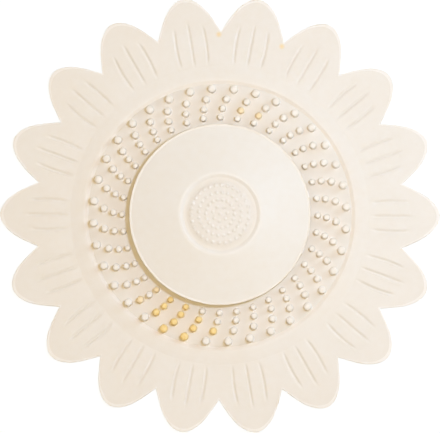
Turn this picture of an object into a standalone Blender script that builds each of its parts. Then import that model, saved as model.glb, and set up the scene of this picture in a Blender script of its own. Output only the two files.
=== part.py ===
"""Drain hair catcher: a flower mat with a ring of pegs, and a cap that presses down to close the drain.

Metres, +Z up. The mat lies on z = 0, centred on the origin, with the tip of a petal on +X.
The cap is modelled raised, as it stands when the drain is open.
"""

import math

import bmesh
import bpy
from mathutils import Matrix

PART_NAME = "drain_hair_catcher"

# Fits and working distances
SEAT_GAP = 0.00025
TURN_GAP = 0.00025
CLOSED_GAP = 0.00020
CUT_OVERRUN = 0.0010
JOIN_OVERLAP = 0.00020
MERGE_DISTANCE = 0.00001

# Travel of the cap from raised to pressed
PRESS_TRAVEL = 0.0045

# Petal mat: outline
PETAL_COUNT = 18
PETAL_TIP_RADIUS = 0.0750
PETAL_TIP_CURVE = 0.0050
PETAL_SEGMENTS = 10

# Petal mat: heights and rings
MAT_THICKNESS = 0.0024
MAT_EDGE_ROUNDING = 0.0005
MAT_FLOOR_THICKNESS = 0.0010
TRAY_WIDTH = 0.0152
TRAY_STEP_HEIGHT = 0.0002
HUMP_LIP_WIDTH = 0.0015
HUMP_CREST_WIDTH = 0.0003
HUMP_SLOPE_WIDTH = 0.0045
HUMP_RISE = 0.00045

# Petal mat: three grooves on each petal, whose ends are shares of the way to the petal's tip
GROOVE_WIDTH = 0.0012
GROOVE_DEPTH = 0.0005
GROOVE_START_SHARE = 0.034
GROOVE_MIDDLE_END_SHARE = 0.634
GROOVE_SIDE_END_SHARE = 0.563
GROOVE_SPREAD_START = 0.0046
GROOVE_SPREAD_END = 0.0049
GROOVE_BOW = 0.0004
GROOVE_SEGMENTS = 3
GROOVE_END_WIDTH_SHARE = 0.5

# Petal mat: suction hollows underneath, between the hump and the notches between the petals
SUCKER_COUNT = 6
SUCKER_RADIUS_SHARE = 0.335
SUCKER_DEPTH = 0.0010
SUCKER_SHOULDER_SHARE = 0.62
SUCKER_SHOULDER_DEPTH_SHARE = 0.72

# Peg ring
TRAY_THICKNESS = 0.0008
PEG_ROWS = 36
PEGS_IN_ROW = 4
PEG_HEIGHT = 0.0040
PEG_DIAMETER_SHARE = 0.76
PEG_DIAMETER_STEP_SHARE = 0.905
PEG_OUTER_MARGIN = 0.00175
PEG_INNER_MARGIN = 0.00315
PEG_ROW_START = math.radians(4.0)
PEG_ROW_LEAN = math.radians(3.1)
PEG_ROW_LEAN_STEP_SHARE = 0.6
PEG_TIP_SHARE = 0.86
PEG_ROUNDING_SHARE = 0.14
PEG_SIDES = 6

# Drain grate
GRATE_RADIUS = 0.0300
GRATE_RIM_WIDTH = 0.0030
GRATE_SEAT_WIDTH = 0.0065
GRATE_SEAT_THICKNESS = 0.0016
GRATE_SEAT_SPLAY = 0.0012
GRATE_WEB_THICKNESS = 0.00125
SPOKE_COUNT = 6
SPOKE_WIDTH = 0.0024
HUB_WALL = 0.0023
HUB_RISE = 0.0004
GUIDE_WALL = 0.0008
GUIDE_FOOT = 0.00087
GUIDE_LIP = 0.0005
WINDOW_ARC_POINTS = 6

# Stem with its clip and its friction ring
STEM_RADIUS = 0.0023
STEM_FOOT_HEIGHT = 0.00015
STEM_FOOT_THICKNESS = 0.00045
STEM_FOOT_CHAMFER = 0.0003
STEM_FLANGE_RADIUS = 0.0075
STEM_FLANGE_THICKNESS = 0.0009
STEM_NECK_DEPTH = 0.0008
CLIP_OVERHANG = 0.0013
CLIP_WELL_GAP = 0.0006
CLIP_THICKNESS = 0.0006
CLIP_PLAY = 0.0001
CLIP_STOP_GAP = 0.0002
CLIP_BORE_GAP = 0.00015
CLIP_MOUTH = math.radians(80)
CLIP_ARC_POINTS = 14
FRICTION_RING_CORD = 0.0010
FRICTION_RING_GAP = 0.00015
FRICTION_RING_PLAY = 0.0001

# Cap
CAP_OVERHANG = 0.0009
CAP_EDGE_HEIGHT = 0.0012
CAP_EDGE_ROUNDING = 0.0003
CAP_WALL = 0.0013
CAP_ROOF_THICKNESS = 0.0008
CAP_CREST_WIDTH = 0.0019
CAP_CREST_EASE = 0.0009
CAP_CREST_EASE_DROP = 0.0001
CAP_GROOVE_WIDTH = 0.0008
CAP_GROOVE_DEPTH = 0.0006
CAP_POCKET_LIP_WIDTH = 0.00115
CAP_POCKET_LIP_DROP = 0.00030
CAP_COLLAR_THICKNESS = 0.0009
CAP_COLLAR_HEIGHT = 0.0012

# Seal ring and the ribs that hold it
SEAL_WIDTH = 0.0022
SEAL_PROUD = 0.0002
SEAL_LIP_ROUNDING = 0.0004
SEAL_GRIP = 0.0005
SEAL_RIB_THICKNESS = 0.0008

# Cap retainer, which holds the cap on the flange of the stem
RETAINER_HOOK = 0.0013
RETAINER_WALL = 0.0014
RETAINER_LIP_THICKNESS = 0.0008

# Press button with its raised dots
BUTTON_RADIUS = 0.0102
BUTTON_THICKNESS = 0.0009
BUTTON_PROUD = 0.0001
BUTTON_EDGE_ROUNDING = 0.0004
DOT_CIRCLES = 4
DOT_FIRST_CIRCLE_RADIUS = 0.00164
DOT_EDGE_MARGIN = 0.0005
DOT_FIRST_COUNT = 6
DOT_COUNT_STEP = 8
DOT_DIAMETER = 0.0010
DOT_HEIGHT = 0.0003
DOT_TIP_SHARE = 0.6
DOT_SIDES = 5

# Steps round the turned shapes, and the angle up to which faces count as one flat face
LARGE_STEPS = 48
MEDIUM_STEPS = 36
SMALL_STEPS = 24
SUCKER_STEPS = 16
CORD_POINTS = 8
FLAT_ANGLE = math.radians(1)

# Colours
CREAM = (0.85, 0.76, 0.64)
BLACK = (0.05, 0.05, 0.05)
STEEL_GREY = (0.60, 0.60, 0.60)

# Heights that follow from the sizes above, from the bottom up
HUMP_CREST_Z = MAT_THICKNESS + HUMP_RISE
TRAY_BOTTOM_Z = MAT_FLOOR_THICKNESS + SEAT_GAP
TRAY_TOP_Z = TRAY_BOTTOM_Z + TRAY_THICKNESS
CLIP_BOTTOM_Z = STEM_FOOT_HEIGHT + STEM_FOOT_THICKNESS + CLIP_PLAY
CLIP_TOP_Z = CLIP_BOTTOM_Z + CLIP_THICKNESS
GUIDE_BOTTOM_Z = CLIP_TOP_Z + CLIP_STOP_GAP
FRICTION_RING_Z = GUIDE_BOTTOM_Z + GUIDE_FOOT + FRICTION_RING_PLAY + FRICTION_RING_CORD / 2
GUIDE_TOP_Z = FRICTION_RING_Z + FRICTION_RING_CORD / 2 + FRICTION_RING_PLAY + GUIDE_LIP
FLANGE_BOTTOM_Z = GUIDE_TOP_Z + CLOSED_GAP + PRESS_TRAVEL
FLANGE_TOP_Z = FLANGE_BOTTOM_Z + STEM_FLANGE_THICKNESS
RETAINER_LIP_TOP_Z = FLANGE_BOTTOM_Z - TURN_GAP
RETAINER_BOTTOM_Z = RETAINER_LIP_TOP_Z - RETAINER_LIP_THICKNESS
ROOF_Z = FLANGE_TOP_Z + TURN_GAP
POCKET_FLOOR_Z = ROOF_Z + CAP_ROOF_THICKNESS
BUTTON_BOTTOM_Z = POCKET_FLOOR_Z + SEAT_GAP
BUTTON_TOP_Z = BUTTON_BOTTOM_Z + BUTTON_THICKNESS
CAP_CREST_Z = BUTTON_TOP_Z - BUTTON_PROUD
SEAL_BOTTOM_Z = TRAY_TOP_Z + CLOSED_GAP + PRESS_TRAVEL
CAP_BOTTOM_Z = SEAL_BOTTOM_Z + SEAL_PROUD
CAP_EDGE_TOP_Z = CAP_BOTTOM_Z + CAP_EDGE_HEIGHT

# Radii that follow, and the slope of the cap
TRAY_RADIUS = GRATE_RADIUS + TRAY_WIDTH
HUMP_CREST_RADIUS = TRAY_RADIUS + HUMP_LIP_WIDTH
HUMP_FOOT_RADIUS = HUMP_CREST_RADIUS + HUMP_SLOPE_WIDTH
MAT_BORE_RADIUS = GRATE_RADIUS - GRATE_RIM_WIDTH
PEG_RING_RADIUS = TRAY_RADIUS - SEAT_GAP
PEG_RING_BORE_RADIUS = GRATE_RADIUS + SEAT_GAP
PEG_OUTER_CIRCLE_RADIUS = PEG_RING_RADIUS - PEG_OUTER_MARGIN
PEG_INNER_CIRCLE_RADIUS = PEG_RING_BORE_RADIUS + PEG_INNER_MARGIN
GRATE_SEAT_RADIUS = MAT_BORE_RADIUS - SEAT_GAP
GRATE_SEAT_INNER_RADIUS = MAT_BORE_RADIUS - GRATE_SEAT_WIDTH
STEM_NECK_RADIUS = STEM_RADIUS - STEM_NECK_DEPTH
CLIP_RADIUS = STEM_RADIUS + CLIP_OVERHANG
HUB_WELL_RADIUS = CLIP_RADIUS + CLIP_WELL_GAP
HUB_RADIUS = HUB_WELL_RADIUS + HUB_WALL
GUIDE_BORE_RADIUS = STEM_RADIUS + SEAT_GAP
FRICTION_RING_RADIUS = STEM_RADIUS + FRICTION_RING_GAP + FRICTION_RING_CORD / 2
FRICTION_GROOVE_RADIUS = FRICTION_RING_RADIUS + FRICTION_RING_CORD / 2 + FRICTION_RING_GAP
GUIDE_RADIUS = FRICTION_GROOVE_RADIUS + GUIDE_WALL
RETAINER_BORE_RADIUS = STEM_FLANGE_RADIUS - RETAINER_HOOK
RETAINER_INNER_RADIUS = STEM_FLANGE_RADIUS + TURN_GAP
RETAINER_RADIUS = RETAINER_INNER_RADIUS + RETAINER_WALL
COLLAR_INNER_RADIUS = RETAINER_RADIUS + SEAT_GAP
SEAL_RADIUS = (GRATE_SEAT_INNER_RADIUS + GRATE_SEAT_RADIUS) / 2
DOT_LAST_CIRCLE_RADIUS = BUTTON_RADIUS - DOT_EDGE_MARGIN
CAP_RADIUS = GRATE_RADIUS + CAP_OVERHANG
CAP_INNER_RADIUS = CAP_RADIUS - CAP_WALL
CAP_POCKET_RADIUS = BUTTON_RADIUS + SEAT_GAP
CAP_GROOVE_INNER_RADIUS = CAP_POCKET_RADIUS + CAP_POCKET_LIP_WIDTH
CAP_GROOVE_OUTER_RADIUS = CAP_GROOVE_INNER_RADIUS + CAP_GROOVE_WIDTH
CAP_CREST_RADIUS = CAP_GROOVE_OUTER_RADIUS + CAP_CREST_WIDTH
CAP_SLOPE = math.atan((CAP_CREST_Z - CAP_EDGE_TOP_Z) / (CAP_RADIUS - CAP_CREST_RADIUS))


def new_collection(name):
    group = bpy.data.collections.new(name)
    bpy.context.scene.collection.children.link(group)
    return group


def new_object(name, mesh, group):
    thing = bpy.data.objects.new(name, mesh)
    group.objects.link(thing)
    return thing


def new_material(name, color, roughness, metallic=0.0):
    material = bpy.data.materials.new(name)
    material.use_nodes = True
    shader = material.node_tree.nodes["Principled BSDF"]
    shader.inputs["Base Color"].default_value = (*color, 1.0)
    shader.inputs["Roughness"].default_value = roughness
    shader.inputs["Metallic"].default_value = metallic
    return material


def as_guide(thing):
    """Hides a cutter or a shape that is joined to a piece."""
    thing.hide_render = True
    thing.display_type = "WIRE"
    return thing


def turned(name, profile, steps, group, base_z=0.0, closed=True):
    """A profile of (radius, z) points turned about the Z axis, with the object's origin at base_z.

    The profile runs down the outer side and back up the inner side. An open one ends on the axis.
    """
    mesh = bpy.data.meshes.new(name)
    points = [(radius, 0.0, z - base_z) for radius, z in profile]
    edges = [(i, i + 1) for i in range(len(points) - 1)]
    if closed:
        edges.append((len(points) - 1, 0))
    mesh.from_pydata(points, edges, [])
    thing = new_object(name, mesh, group)
    thing.location.z = base_z
    screw = thing.modifiers.new("Turn", "SCREW")
    screw.axis = "Z"
    screw.steps = steps
    screw.render_steps = steps
    screw.use_merge_vertices = True
    screw.merge_threshold = MERGE_DISTANCE
    screw.use_smooth_shade = True
    return thing


def mesh_from_curve(curve_object, group):
    """Replaces a curve object by a welded mesh object of the same name and place."""
    name = curve_object.name
    bpy.context.view_layer.update()
    evaluated = curve_object.evaluated_get(bpy.context.evaluated_depsgraph_get())
    mesh = bpy.data.meshes.new_from_object(evaluated)
    place = curve_object.matrix_world.copy()
    curve = curve_object.data
    bpy.data.objects.remove(curve_object)
    bpy.data.curves.remove(curve)
    shape = bmesh.new()
    shape.from_mesh(mesh)
    bmesh.ops.remove_doubles(shape, verts=shape.verts, dist=MERGE_DISTANCE)
    shape.to_mesh(mesh)
    shape.free()
    thing = new_object(name, mesh, group)
    thing.matrix_world = place
    return thing


def extruded(name, outlines, low_z, high_z, group):
    """Flat closed outlines, each a list of (x, y), given a thickness from low_z to high_z."""
    curve = bpy.data.curves.new(name, "CURVE")
    curve.dimensions = "2D"
    curve.fill_mode = "BOTH"
    curve.extrude = (high_z - low_z) / 2
    for outline in outlines:
        spline = curve.splines.new("POLY")
        spline.points.add(len(outline) - 1)
        for point, (x, y) in zip(spline.points, outline):
            point.co = (x, y, 0.0, 1.0)
        spline.use_cyclic_u = True
    curve_object = new_object(name, curve, group)
    curve_object.location.z = (low_z + high_z) / 2
    return mesh_from_curve(curve_object, group)


def merge_flat_faces(mesh):
    """Joins the triangles of each flat face into one."""
    shape = bmesh.new()
    shape.from_mesh(mesh)
    bmesh.ops.dissolve_limit(shape, angle_limit=FLAT_ANGLE, verts=shape.verts, edges=shape.edges)
    shape.to_mesh(mesh)
    shape.free()


def studs(name, places, base_z, height, tip_share, rounding_share, sides, group):
    """Tapered studs at places of (circle radius, angle, diameter), as one mesh.

    tip_share is the tip's share of the diameter, and rounding_share that of the bevel round the tip.
    """
    middle_z = base_z + height / 2
    shape = bmesh.new()
    for circle_radius, angle, diameter in places:
        turn = Matrix.Rotation(angle, 4, "Z")
        lift = Matrix.Translation((circle_radius, 0.0, middle_z))
        stud = bmesh.ops.create_cone(
            shape,
            cap_ends=True,
            segments=sides,
            radius1=diameter / 2,
            radius2=diameter / 2 * tip_share,
            depth=height,
            matrix=turn @ lift,
        )
        if rounding_share:
            edges = {edge for vert in stud["verts"] for edge in vert.link_edges}
            rim = [edge for edge in edges if all(vert.co.z > middle_z for vert in edge.verts)]
            bmesh.ops.bevel(shape, geom=rim, offset=rounding_share * diameter, segments=1, affect="EDGES")
    mesh = bpy.data.meshes.new(name)
    shape.to_mesh(mesh)
    shape.free()
    return new_object(name, mesh, group)


def boolean(thing, operand, operation):
    modifier = thing.modifiers.new(operand.name, "BOOLEAN")
    modifier.operation = operation
    modifier.solver = "EXACT"
    modifier.object = as_guide(operand)


def cut(thing, cutter):
    boolean(thing, cutter, "DIFFERENCE")


def join(thing, addition):
    boolean(thing, addition, "UNION")


def cap_top_z(radius):
    """Height of the cap's conical top at a radius."""
    return CAP_EDGE_TOP_Z + (CAP_RADIUS - radius) * math.tan(CAP_SLOPE)


def cap_under_z(radius):
    """Height of the conical underside at a radius."""
    return cap_top_z(radius) - CAP_WALL / math.cos(CAP_SLOPE)


def cap_radius_under(z):
    """Radius at which the conical underside reaches a height."""
    return CAP_RADIUS - (z + CAP_WALL / math.cos(CAP_SLOPE) - CAP_EDGE_TOP_Z) / math.tan(CAP_SLOPE)


def petal_half_width():
    """Half the width of a petal where its edge, a parabola, meets the edge of the next one."""
    slope = math.tan(math.pi / PETAL_COUNT)
    reach = math.sqrt(1 + 2 * slope**2 * PETAL_TIP_RADIUS / PETAL_TIP_CURVE) - 1
    return PETAL_TIP_CURVE / slope * reach


def flower_outline():
    """Points round the flower, petal by petal from notch to notch."""
    half_width = petal_half_width()
    points = []
    for petal in range(PETAL_COUNT):
        angle = petal * math.tau / PETAL_COUNT
        for step in range(PETAL_SEGMENTS):
            across = half_width * (2 * step / PETAL_SEGMENTS - 1)
            along = PETAL_TIP_RADIUS - across**2 / (2 * PETAL_TIP_CURVE)
            x = along * math.cos(angle) - across * math.sin(angle)
            y = along * math.sin(angle) + across * math.cos(angle)
            points.append((x, y))
    return points


def round_rims(slab, width):
    """Bevels the edges round the top and the bottom of a slab, and not its upright ones."""
    shape = bmesh.new()
    shape.from_mesh(slab.data)
    weight = shape.edges.layers.float.new("bevel_weight_edge")
    for edge in shape.edges:
        level = abs(edge.verts[0].co.z - edge.verts[1].co.z) < MERGE_DISTANCE
        edge[weight] = 1.0 if level else 0.0
    shape.to_mesh(slab.data)
    shape.free()
    rounding = slab.modifiers.new("Rim", "BEVEL")
    rounding.limit_method = "WEIGHT"
    rounding.width = width
    rounding.segments = 1


def groove_path(side, angle):
    """Points of one groove's tube on the petal at an angle. side is -1, 0 or 1."""
    petal_length = PETAL_TIP_RADIUS - HUMP_FOOT_RADIUS
    end_share = GROOVE_SIDE_END_SHARE if side else GROOVE_MIDDLE_END_SHARE
    tube_radius = GROOVE_WIDTH**2 / (8 * GROOVE_DEPTH) + GROOVE_DEPTH / 2
    z = MAT_THICKNESS - GROOVE_DEPTH + tube_radius
    points = []
    for step in range(GROOVE_SEGMENTS + 1):
        share = step / GROOVE_SEGMENTS
        length_share = GROOVE_START_SHARE + share * (end_share - GROOVE_START_SHARE)
        along = HUMP_FOOT_RADIUS + length_share * petal_length
        spread = GROOVE_SPREAD_START + share * (GROOVE_SPREAD_END - GROOVE_SPREAD_START)
        across = side * (spread + 4 * share * (1 - share) * GROOVE_BOW)
        x = along * math.cos(angle) - across * math.sin(angle)
        y = along * math.sin(angle) + across * math.cos(angle)
        points.append((x, y, z))
    return points, tube_radius


def groove_cutter(group):
    """All grooves as tubes that sink into the top of the petals and fade at their ends."""
    curve = bpy.data.curves.new("groove_cutter", "CURVE")
    curve.dimensions = "3D"
    curve.bevel_resolution = 2
    curve.use_fill_caps = True
    for petal in range(PETAL_COUNT):
        for side in (-1, 0, 1):
            points, tube_radius = groove_path(side, petal * math.tau / PETAL_COUNT)
            spline = curve.splines.new("POLY")
            spline.points.add(len(points) - 1)
            for point, place in zip(spline.points, points):
                point.co = (*place, 1.0)
            spline.points[0].radius = GROOVE_END_WIDTH_SHARE
            spline.points[-1].radius = GROOVE_END_WIDTH_SHARE
    curve.bevel_depth = tube_radius
    return mesh_from_curve(new_object("groove_cutter", curve, group), group)


def sucker_cutter(number, group):
    """A shallow domed hollow in the underside of the mat, in line with a notch between two petals."""
    notch_radius = petal_half_width() / math.sin(math.pi / PETAL_COUNT)
    circle_radius = (HUMP_FOOT_RADIUS + notch_radius) / 2
    radius = SUCKER_RADIUS_SHARE * (notch_radius - HUMP_FOOT_RADIUS)
    profile = [
        (0.0, SUCKER_DEPTH),
        (SUCKER_SHOULDER_SHARE * radius, SUCKER_SHOULDER_DEPTH_SHARE * SUCKER_DEPTH),
        (radius, 0.0),
        (radius, -CUT_OVERRUN),
        (0.0, -CUT_OVERRUN),
    ]
    cutter = turned(f"sucker_cutter_{number + 1}", profile, SUCKER_STEPS, group, closed=False)
    angle = number * math.tau / SUCKER_COUNT + math.pi / PETAL_COUNT
    cutter.location.x = circle_radius * math.cos(angle)
    cutter.location.y = circle_radius * math.sin(angle)
    return cutter


def make_petal_mat(parts, guides):
    """The soft flower: petals, a low hump round the tray, and the tray's floor with its bore."""
    mat = extruded("petal_mat", [flower_outline()], 0.0, MAT_THICKNESS, parts)
    merge_flat_faces(mat.data)
    round_rims(mat, MAT_EDGE_ROUNDING)

    hump_base_z = MAT_THICKNESS / 2
    hump_profile = [
        (TRAY_RADIUS - CUT_OVERRUN, HUMP_CREST_Z),
        (HUMP_CREST_RADIUS, HUMP_CREST_Z),
        ((HUMP_CREST_RADIUS + HUMP_FOOT_RADIUS) / 2, MAT_THICKNESS + HUMP_RISE / 2),
        (HUMP_FOOT_RADIUS, MAT_THICKNESS - JOIN_OVERLAP),
        (HUMP_FOOT_RADIUS, hump_base_z),
        (TRAY_RADIUS - CUT_OVERRUN, hump_base_z),
    ]
    join(mat, turned("hump_ring", hump_profile, LARGE_STEPS, guides))

    tray_profile = [
        (0.0, HUMP_CREST_Z + CUT_OVERRUN),
        (HUMP_CREST_RADIUS - HUMP_CREST_WIDTH, HUMP_CREST_Z + CUT_OVERRUN),
        (HUMP_CREST_RADIUS - HUMP_CREST_WIDTH, HUMP_CREST_Z),
        (TRAY_RADIUS, TRAY_TOP_Z + TRAY_STEP_HEIGHT),
        (TRAY_RADIUS, MAT_FLOOR_THICKNESS),
        (MAT_BORE_RADIUS, MAT_FLOOR_THICKNESS),
        (MAT_BORE_RADIUS, -CUT_OVERRUN),
        (0.0, -CUT_OVERRUN),
    ]
    cut(mat, turned("tray_cutter", tray_profile, LARGE_STEPS, guides, closed=False))
    cut(mat, groove_cutter(guides))
    for number in range(SUCKER_COUNT):
        cut(mat, sucker_cutter(number, guides))
    return mat


def peg_places():
    """(circle radius, angle, diameter) of each peg. Each row leans less and less on its way in."""
    step_share = (PEG_INNER_CIRCLE_RADIUS / PEG_OUTER_CIRCLE_RADIUS) ** (1 / (PEGS_IN_ROW - 1))
    circle_step = PEG_OUTER_CIRCLE_RADIUS * (1 - step_share)
    places = []
    for row in range(PEG_ROWS):
        circle_radius = PEG_OUTER_CIRCLE_RADIUS
        diameter = PEG_DIAMETER_SHARE * circle_step
        angle = PEG_ROW_START + row * math.tau / PEG_ROWS
        lean = PEG_ROW_LEAN
        for _ in range(PEGS_IN_ROW):
            places.append((circle_radius, angle, diameter))
            circle_radius *= step_share
            diameter *= PEG_DIAMETER_STEP_SHARE
            angle += lean
            lean *= PEG_ROW_LEAN_STEP_SHARE
    return places


def make_peg_ring(parts, guides):
    """A thin ring that lies on the mat's floor, with rows of pegs that hold the hair."""
    profile = [
        (PEG_RING_RADIUS, TRAY_TOP_Z),
        (PEG_RING_RADIUS, TRAY_BOTTOM_Z),
        (PEG_RING_BORE_RADIUS, TRAY_BOTTOM_Z),
        (PEG_RING_BORE_RADIUS, TRAY_TOP_Z),
    ]
    ring = turned("peg_ring", profile, LARGE_STEPS, parts, base_z=TRAY_BOTTOM_Z)
    pegs = studs(
        "pegs",
        peg_places(),
        TRAY_TOP_Z - JOIN_OVERLAP,
        PEG_HEIGHT + JOIN_OVERLAP,
        PEG_TIP_SHARE,
        PEG_ROUNDING_SHARE,
        PEG_SIDES,
        guides,
    )
    join(ring, pegs)
    return ring


def window_outline(number):
    """One window of the grate: it stops short of the spokes on both sides."""
    sector = math.tau / SPOKE_COUNT
    points = []
    for radius, direction in ((HUB_RADIUS, 1), (GRATE_SEAT_INNER_RADIUS, -1)):
        margin = math.asin(SPOKE_WIDTH / 2 / radius)
        first = number * sector + margin
        last = (number + 1) * sector - margin
        arc = [first + (last - first) * i / WINDOW_ARC_POINTS for i in range(WINDOW_ARC_POINTS + 1)]
        points += [(radius * math.cos(a), radius * math.sin(a)) for a in arc[::direction]]
    return points


def make_drain_grate(parts, guides):
    """The stiff insert: a rim on the mat's floor, a flat seat for the seal, spokes and a guide tube."""
    web_z = TRAY_TOP_Z - GRATE_WEB_THICKNESS
    seat_z = TRAY_TOP_Z - GRATE_SEAT_THICKNESS
    plate_profile = [
        (GRATE_RADIUS, TRAY_TOP_Z),
        (GRATE_RADIUS, TRAY_BOTTOM_Z),
        (GRATE_SEAT_RADIUS, TRAY_BOTTOM_Z),
        (GRATE_SEAT_RADIUS, seat_z),
        (GRATE_SEAT_INNER_RADIUS + GRATE_SEAT_SPLAY, seat_z),
        (GRATE_SEAT_INNER_RADIUS, web_z),
        (HUB_WELL_RADIUS + JOIN_OVERLAP, web_z),
        (HUB_WELL_RADIUS + JOIN_OVERLAP, TRAY_TOP_Z),
    ]
    grate = turned("drain_grate", plate_profile, LARGE_STEPS, parts, base_z=seat_z)

    groove_low_z = FRICTION_RING_Z - FRICTION_RING_CORD / 2 - FRICTION_RING_PLAY
    groove_high_z = FRICTION_RING_Z + FRICTION_RING_CORD / 2 + FRICTION_RING_PLAY
    hub_profile = [
        (GUIDE_RADIUS, GUIDE_TOP_Z),
        (GUIDE_RADIUS, TRAY_TOP_Z + HUB_RISE),
        (HUB_RADIUS - HUB_RISE, TRAY_TOP_Z + HUB_RISE),
        (HUB_RADIUS, TRAY_TOP_Z - JOIN_OVERLAP),
        (HUB_RADIUS, web_z + JOIN_OVERLAP),
        (HUB_WELL_RADIUS, web_z + JOIN_OVERLAP),
        (HUB_WELL_RADIUS, GUIDE_BOTTOM_Z),
        (GUIDE_BORE_RADIUS, GUIDE_BOTTOM_Z),
        (GUIDE_BORE_RADIUS, groove_low_z),
        (FRICTION_GROOVE_RADIUS, groove_low_z),
        (FRICTION_GROOVE_RADIUS, groove_high_z),
        (GUIDE_BORE_RADIUS, groove_high_z),
        (GUIDE_BORE_RADIUS, GUIDE_TOP_Z),
    ]
    windows = [window_outline(number) for number in range(SPOKE_COUNT)]
    low_z = seat_z - CUT_OVERRUN
    high_z = TRAY_TOP_Z + CUT_OVERRUN
    cut(grate, extruded("window_cutter", windows, low_z, high_z, guides))
    join(grate, turned("guide_hub", hub_profile, SMALL_STEPS, guides))
    return grate


def make_friction_ring(parts):
    """The round-section ring in the guide's groove, whose grip holds the stem where it is put."""
    profile = []
    for i in range(CORD_POINTS):
        angle = math.tau * (i + 0.5) / CORD_POINTS
        radius = FRICTION_RING_RADIUS + FRICTION_RING_CORD / 2 * math.cos(angle)
        profile.append((radius, FRICTION_RING_Z - FRICTION_RING_CORD / 2 * math.sin(angle)))
    return turned("friction_ring", profile, SMALL_STEPS, parts, base_z=FRICTION_RING_Z)


def make_stem(parts):
    """A pin with a neck for the clip near its foot and a flange on top that carries the cap."""
    profile = [
        (0.0, FLANGE_TOP_Z),
        (STEM_FLANGE_RADIUS, FLANGE_TOP_Z),
        (STEM_FLANGE_RADIUS, FLANGE_BOTTOM_Z),
        (STEM_RADIUS, FLANGE_BOTTOM_Z),
        (STEM_RADIUS, CLIP_TOP_Z + CLIP_PLAY),
        (STEM_NECK_RADIUS, CLIP_TOP_Z + CLIP_PLAY),
        (STEM_NECK_RADIUS, CLIP_BOTTOM_Z - CLIP_PLAY),
        (STEM_RADIUS, CLIP_BOTTOM_Z - CLIP_PLAY),
        (STEM_RADIUS, STEM_FOOT_HEIGHT + STEM_FOOT_CHAMFER),
        (STEM_RADIUS - STEM_FOOT_CHAMFER, STEM_FOOT_HEIGHT),
        (0.0, STEM_FOOT_HEIGHT),
    ]
    return turned("stem", profile, SMALL_STEPS, parts, base_z=STEM_FOOT_HEIGHT, closed=False)


def make_stem_clip(parts):
    """An open ring on the stem's neck, which stops the stem from being pulled out of its guide."""
    points = []
    for radius, direction in ((CLIP_RADIUS, 1), (STEM_NECK_RADIUS + CLIP_BORE_GAP, -1)):
        sweep = math.tau - CLIP_MOUTH
        arc = [CLIP_MOUTH / 2 + sweep * i / CLIP_ARC_POINTS for i in range(CLIP_ARC_POINTS + 1)]
        points += [(radius * math.cos(a), radius * math.sin(a)) for a in arc[::direction]]
    return extruded("stem_clip", [points], CLIP_BOTTOM_Z, CLIP_TOP_Z, parts)


def make_cap(parts):
    """The shallow cone that covers the grate, with a pocket on top and ribs and a collar below."""
    groove_z = CAP_CREST_Z - CAP_GROOVE_DEPTH
    rib_z = SEAL_BOTTOM_Z + SEAL_GRIP
    rib_outer = SEAL_RADIUS + SEAL_WIDTH / 2 + SEAT_GAP
    rib_inner = SEAL_RADIUS - SEAL_WIDTH / 2 - SEAT_GAP
    collar_outer = COLLAR_INNER_RADIUS + CAP_COLLAR_THICKNESS
    profile = [
        (0.0, POCKET_FLOOR_Z),
        (CAP_POCKET_RADIUS, POCKET_FLOOR_Z),
        (CAP_POCKET_RADIUS, CAP_CREST_Z - CAP_POCKET_LIP_DROP),
        (CAP_GROOVE_INNER_RADIUS, groove_z),
        (CAP_GROOVE_OUTER_RADIUS, groove_z),
        (CAP_CREST_RADIUS - CAP_CREST_EASE, CAP_CREST_Z - CAP_CREST_EASE_DROP),
        (CAP_CREST_RADIUS, CAP_CREST_Z),
        (CAP_RADIUS - CAP_EDGE_ROUNDING, cap_top_z(CAP_RADIUS - CAP_EDGE_ROUNDING)),
        (CAP_RADIUS, CAP_EDGE_TOP_Z - CAP_EDGE_ROUNDING),
        (CAP_RADIUS, CAP_BOTTOM_Z),
        (CAP_INNER_RADIUS, CAP_BOTTOM_Z),
        (CAP_INNER_RADIUS, cap_under_z(CAP_INNER_RADIUS)),
        (rib_outer + SEAL_RIB_THICKNESS, cap_under_z(rib_outer + SEAL_RIB_THICKNESS)),
        (rib_outer + SEAL_RIB_THICKNESS, rib_z),
        (rib_outer, rib_z),
        (rib_outer, cap_under_z(rib_outer)),
        (rib_inner, cap_under_z(rib_inner)),
        (rib_inner, rib_z),
        (rib_inner - SEAL_RIB_THICKNESS, rib_z),
        (rib_inner - SEAL_RIB_THICKNESS, cap_under_z(rib_inner - SEAL_RIB_THICKNESS)),
        (cap_radius_under(ROOF_Z), ROOF_Z),
        (collar_outer, ROOF_Z),
        (collar_outer, ROOF_Z - CAP_COLLAR_HEIGHT),
        (COLLAR_INNER_RADIUS, ROOF_Z - CAP_COLLAR_HEIGHT),
        (COLLAR_INNER_RADIUS, ROOF_Z),
        (0.0, ROOF_Z),
    ]
    return turned("cap", profile, LARGE_STEPS, parts, base_z=CAP_BOTTOM_Z, closed=False)


def make_cap_retainer(parts):
    """The ring inside the cap's collar that hooks under the flange of the stem."""
    profile = [
        (RETAINER_RADIUS, ROOF_Z - SEAT_GAP),
        (RETAINER_RADIUS, RETAINER_BOTTOM_Z),
        (RETAINER_BORE_RADIUS, RETAINER_BOTTOM_Z),
        (RETAINER_BORE_RADIUS, RETAINER_LIP_TOP_Z),
        (RETAINER_INNER_RADIUS, RETAINER_LIP_TOP_Z),
        (RETAINER_INNER_RADIUS, ROOF_Z - SEAT_GAP),
    ]
    return turned("cap_retainer", profile, MEDIUM_STEPS, parts, base_z=RETAINER_BOTTOM_Z)


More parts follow.
